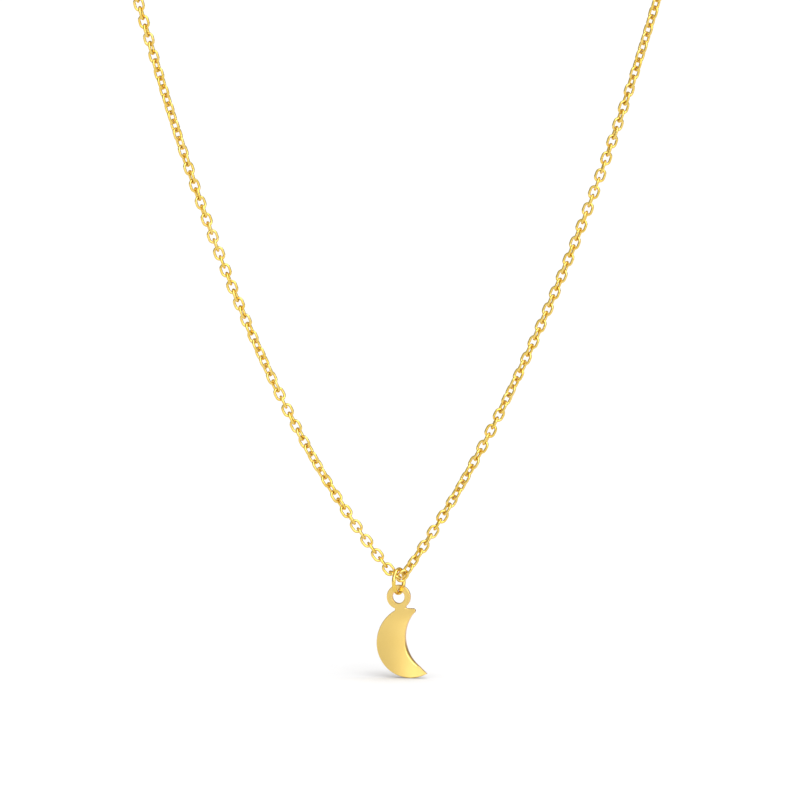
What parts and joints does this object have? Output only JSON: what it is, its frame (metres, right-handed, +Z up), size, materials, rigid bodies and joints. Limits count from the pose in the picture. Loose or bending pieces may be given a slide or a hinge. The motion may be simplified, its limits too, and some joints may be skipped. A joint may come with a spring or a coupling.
{
  "type": "pendant necklace",
  "caption": "Fine cable-chain necklace that hangs in a V, with a flat crescent moon charm on a jump ring and a lobster clasp at the back.",
  "frame": {"origin": "centre of the round neck form that the top of the chain lies on, in the plane that the necklace hangs in", "axes": "+Z up along the hanging strands, +X to the right as the charm is looked at, the charm's face looks towards -Y"},
  "size_m": [0.0885, 0.0053, 0.1816],
  "materials": {
    "chain_gold": "polished gold plate",
    "charm_gold": "polished gold plate with fine brush marks",
    "ring_gold": "polished gold plate",
    "clasp_gold": "polished gold plate",
    "spring_steel": "bright spring wire"
  },
  "bodies": {
    "neck_chain": {"left_neck_1": "chain_gold", "left_neck_2": "chain_gold", "left_neck_3": "chain_gold", "right_neck_1": "chain_gold", "right_neck_2": "chain_gold", "right_neck_3": "chain_gold", "clasp_ring": "ring_gold", "clasp_body": "clasp_gold", "clasp_pin": "clasp_gold", "clasp_spring": "spring_steel", "end_ring": "ring_gold"},
    "hang_01": {"left_strand_01": "chain_gold", "right_strand_01": "chain_gold"},
    "hang_02": {"left_strand_02": "chain_gold", "right_strand_02": "chain_gold"},
    "hang_03": {"left_strand_03": "chain_gold", "right_strand_03": "chain_gold"},
    "hang_04": {"left_strand_04": "chain_gold", "right_strand_04": "chain_gold"},
    "hang_05": {"left_strand_05": "chain_gold", "right_strand_05": "chain_gold"},
    "hang_06": {"left_strand_06": "chain_gold", "right_strand_06": "chain_gold"},
    "hang_07": {"left_strand_07": "chain_gold", "right_strand_07": "chain_gold"},
    "hang_08": {"left_strand_08": "chain_gold", "right_strand_08": "chain_gold"},
    "hang_09": {"left_strand_09": "chain_gold", "right_strand_09": "chain_gold"},
    "hang_10": {"left_strand_10": "chain_gold", "right_strand_10": "chain_gold"},
    "ring": {"jump_ring": "ring_gold"},
    "moon": {"moon_charm": "charm_gold"},
    "gate": {"clasp_gate": "clasp_gold"}
  },
  "joints": [
    {"name": "sway_01", "type": "hinge", "parent": "neck_chain", "child": "hang_01", "pos_m": [0, 0, -0.00892], "axis": [1, 0, 0], "range_deg": [-12, 12]},
    {"name": "sway_02", "type": "hinge", "parent": "hang_01", "child": "hang_02", "pos_m": [0, 0, -0.02102], "axis": [1, 0, 0], "range_deg": [-12, 12]},
    {"name": "sway_03", "type": "hinge", "parent": "hang_02", "child": "hang_03", "pos_m": [-0.00003, 0, -0.03306], "axis": [1, 0, 0.0002], "range_deg": [-12, 12]},
    {"name": "sway_04", "type": "hinge", "parent": "hang_03", "child": "hang_04", "pos_m": [-0.00008, 0, -0.04505], "axis": [1, 0, 0.0007], "range_deg": [-12, 12]},
    {"name": "sway_05", "type": "hinge", "parent": "hang_04", "child": "hang_05", "pos_m": [-0.00017, 0, -0.05696], "axis": [1, 0, 0.0016], "range_deg": [-12, 12]},
    {"name": "sway_06", "type": "hinge", "parent": "hang_05", "child": "hang_06", "pos_m": [-0.00027, 0, -0.06878], "axis": [1, 0, 0.0033], "range_deg": [-12, 12]},
    {"name": "sway_07", "type": "hinge", "parent": "hang_06", "child": "hang_07", "pos_m": [-0.00037, 0, -0.08045], "axis": [1, 0, 0.0059], "range_deg": [-12, 12]},
    {"name": "sway_08", "type": "hinge", "parent": "hang_07", "child": "hang_08", "pos_m": [-0.00042, 0, -0.09195], "axis": [1, 0, 0.0099], "range_deg": [-12, 12]},
    {"name": "sway_09", "type": "hinge", "parent": "hang_08", "child": "hang_09", "pos_m": [-0.0004, 0, -0.10317], "axis": [0.9999, 0, 0.0154], "range_deg": [-12, 12]},
    {"name": "sway_10", "type": "hinge", "parent": "hang_09", "child": "hang_10", "pos_m": [-0.00026, 0, -0.11399], "axis": [0.9998, 0, 0.0222], "range_deg": [-12, 12]},
    {"name": "ring_swing", "type": "hinge", "parent": "hang_10", "child": "ring", "pos_m": [0.00024, 0, -0.12397], "axis": [0.9063, -0.4226, 0], "range_deg": [-25, 15]},
    {"name": "charm_swing", "type": "hinge", "parent": "ring", "child": "moon", "pos_m": [0.00004, 0, -0.12587], "axis": [0.4226, 0.9063, 0], "range_deg": [-30, 30]},
    {"name": "clasp_gate_open", "type": "hinge", "parent": "neck_chain", "child": "gate", "pos_m": [-0.00185, 0.00085, 0.04309], "axis": [0, 0, -1], "range_deg": [0, 22], "stiffness_Nm_per_rad": 0.004, "springref_deg": -11.46}
  ]
}
